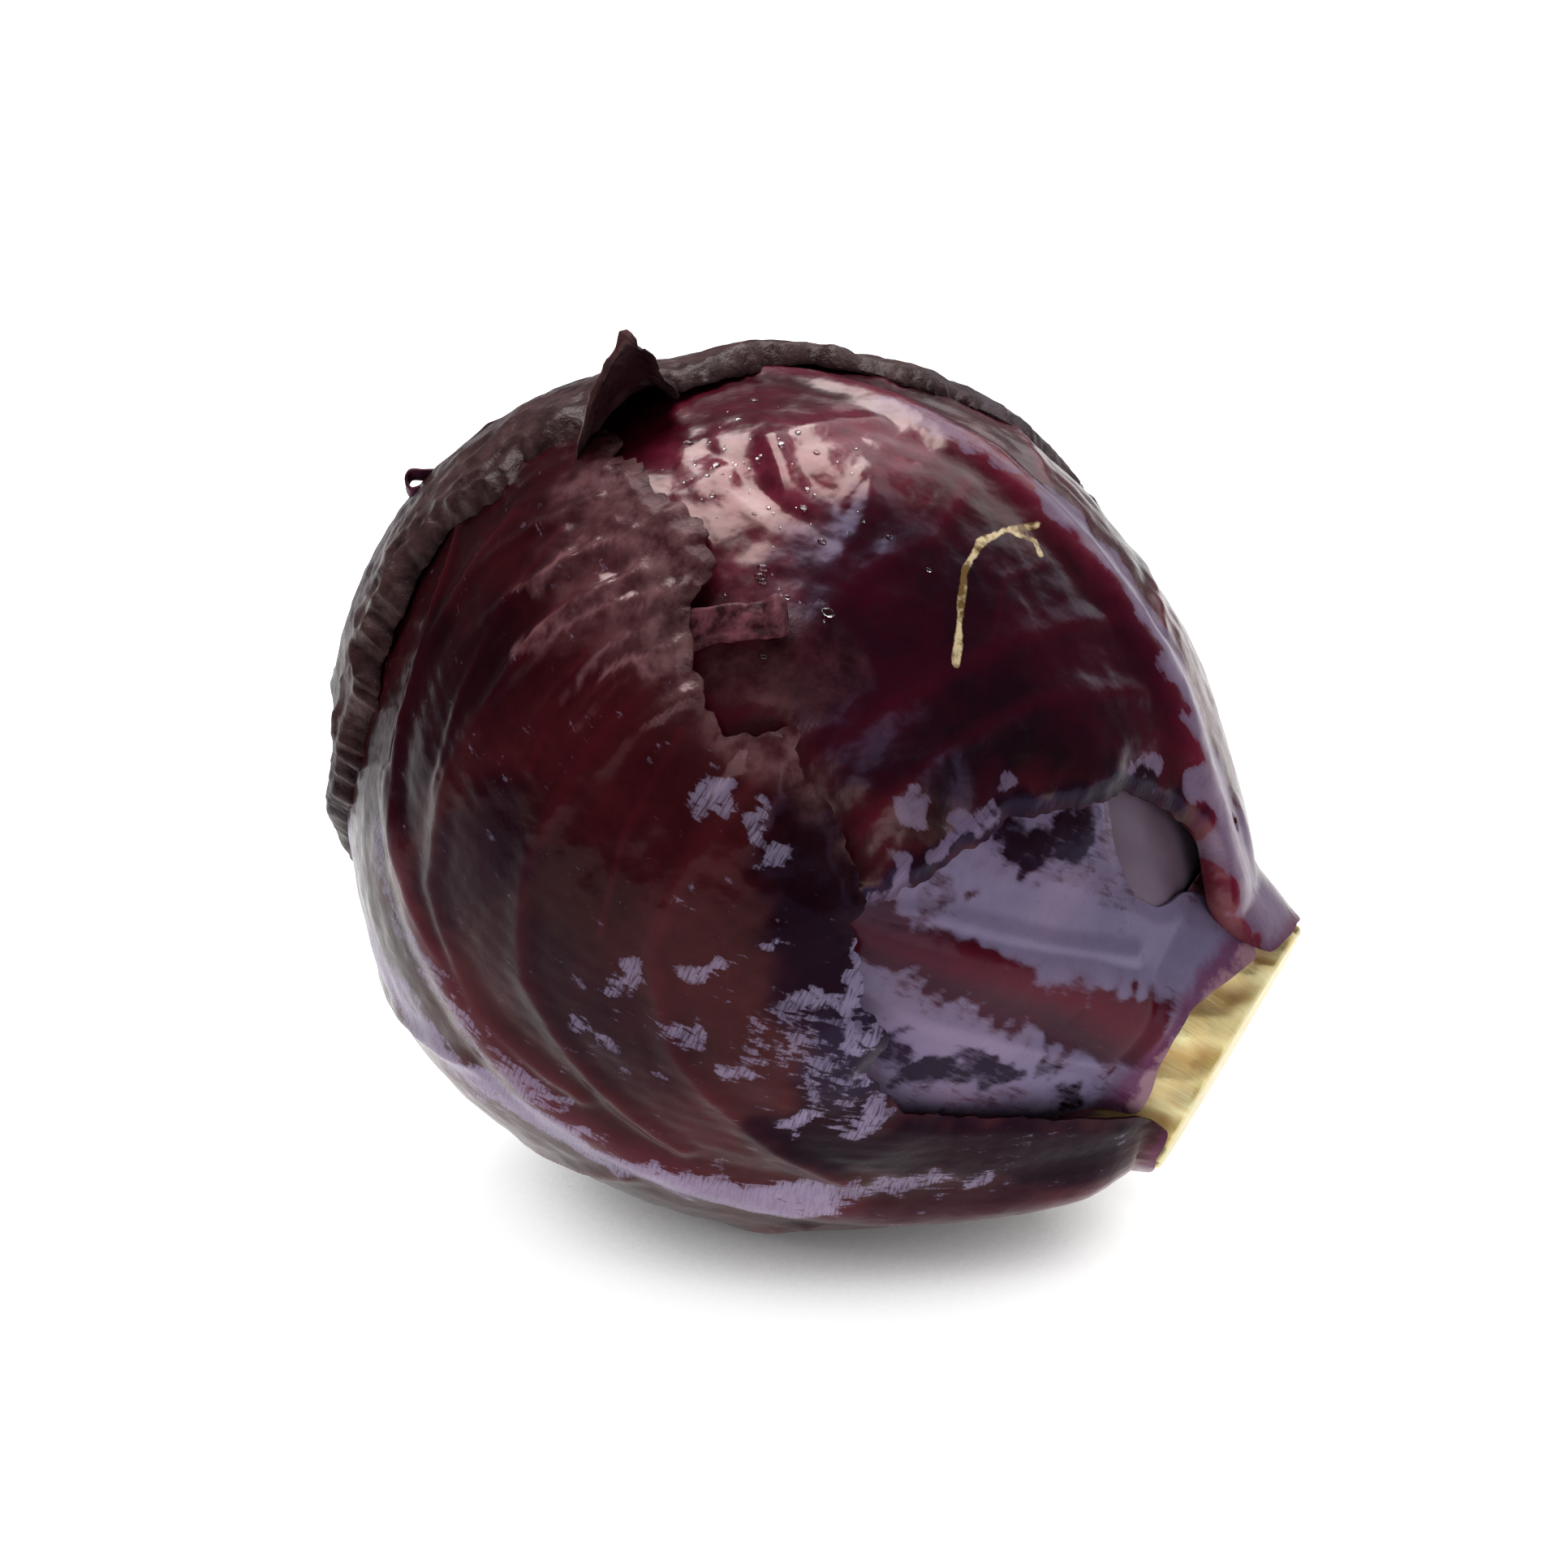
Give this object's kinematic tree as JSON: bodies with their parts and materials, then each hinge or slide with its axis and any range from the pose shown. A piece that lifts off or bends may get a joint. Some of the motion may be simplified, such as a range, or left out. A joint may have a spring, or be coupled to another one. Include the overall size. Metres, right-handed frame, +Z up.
{
  "type": "cabbage head",
  "caption": "Whole red cabbage lying on its side: overlapping ribbed wrapper leaves with torn dry rims round a dense head, and a pale cut stalk.",
  "frame": {"origin": "centre of the small flat spot that the head rests on", "axes": "+Z up, +X level along the head toward its cut stalk, -Y toward the side with the torn leaves"},
  "size_m": [0.1621, 0.1446, 0.1511],
  "materials": {
    "stalk": "matte",
    "heart": "satin",
    "leaf_front_inner": "satin, with wax bloom",
    "leaf_right": "satin, damp",
    "leaf_under": "satin, damp",
    "leaf_back": "matte, dry at the rim"
  },
  "bodies": {
    "root": {"stalk": "stalk", "heart": "heart", "leaf_front_inner": "leaf_front_inner", "leaf_right": "leaf_right", "leaf_under": "leaf_under", "leaf_back": "leaf_back"}
  },
  "joints": []
}
